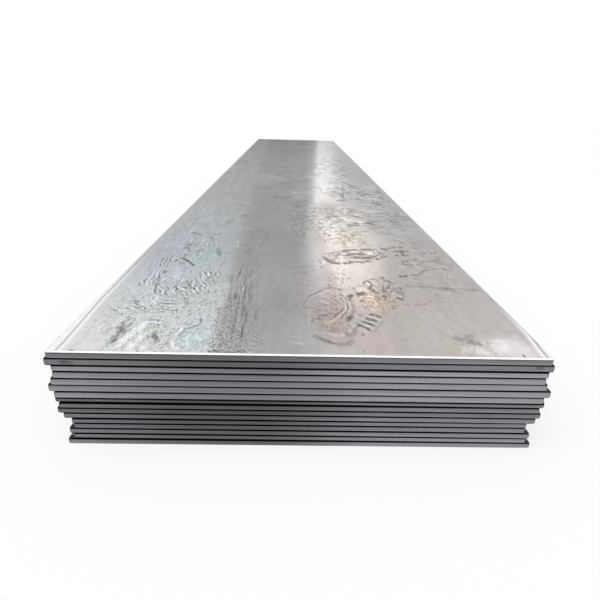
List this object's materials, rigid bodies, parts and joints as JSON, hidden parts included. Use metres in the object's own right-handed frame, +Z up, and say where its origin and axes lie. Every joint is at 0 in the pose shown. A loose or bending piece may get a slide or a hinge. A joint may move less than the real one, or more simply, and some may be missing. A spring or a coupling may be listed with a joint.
{
  "type": "stack of steel plates",
  "caption": "Stack of long hot-rolled steel plates in two thicknesses, lying flat, with rolled long edges, cut ends and clipped corners.",
  "frame": {"origin": "on the floor, under the middle of the stack's footprint", "axes": "+X across the plates, +Y along them from the front ends to the far ends, +Z up through the stack"},
  "size_m": [2.0694, 12.0271, 0.4395],
  "materials": {
    "lower_lot_steel": "hot-rolled mill scale, dull and slightly bluish",
    "upper_lot_steel": "hot-rolled mill scale, thin and satin, with roller marks and scuffs"
  },
  "bodies": {
    "root": {"lower_plate_1": "lower_lot_steel", "lower_plate_2": "lower_lot_steel", "lower_plate_3": "lower_lot_steel", "lower_plate_4": "lower_lot_steel", "lower_plate_5": "lower_lot_steel", "lower_plate_6": "lower_lot_steel", "lower_plate_7": "lower_lot_steel", "lower_plate_8": "lower_lot_steel", "lower_plate_9": "lower_lot_steel", "upper_plate_1": "upper_lot_steel", "upper_plate_2": "upper_lot_steel", "upper_plate_3": "upper_lot_steel", "upper_plate_4": "upper_lot_steel", "upper_plate_5": "upper_lot_steel", "upper_plate_6": "upper_lot_steel", "upper_plate_7": "upper_lot_steel"}
  },
  "joints": []
}
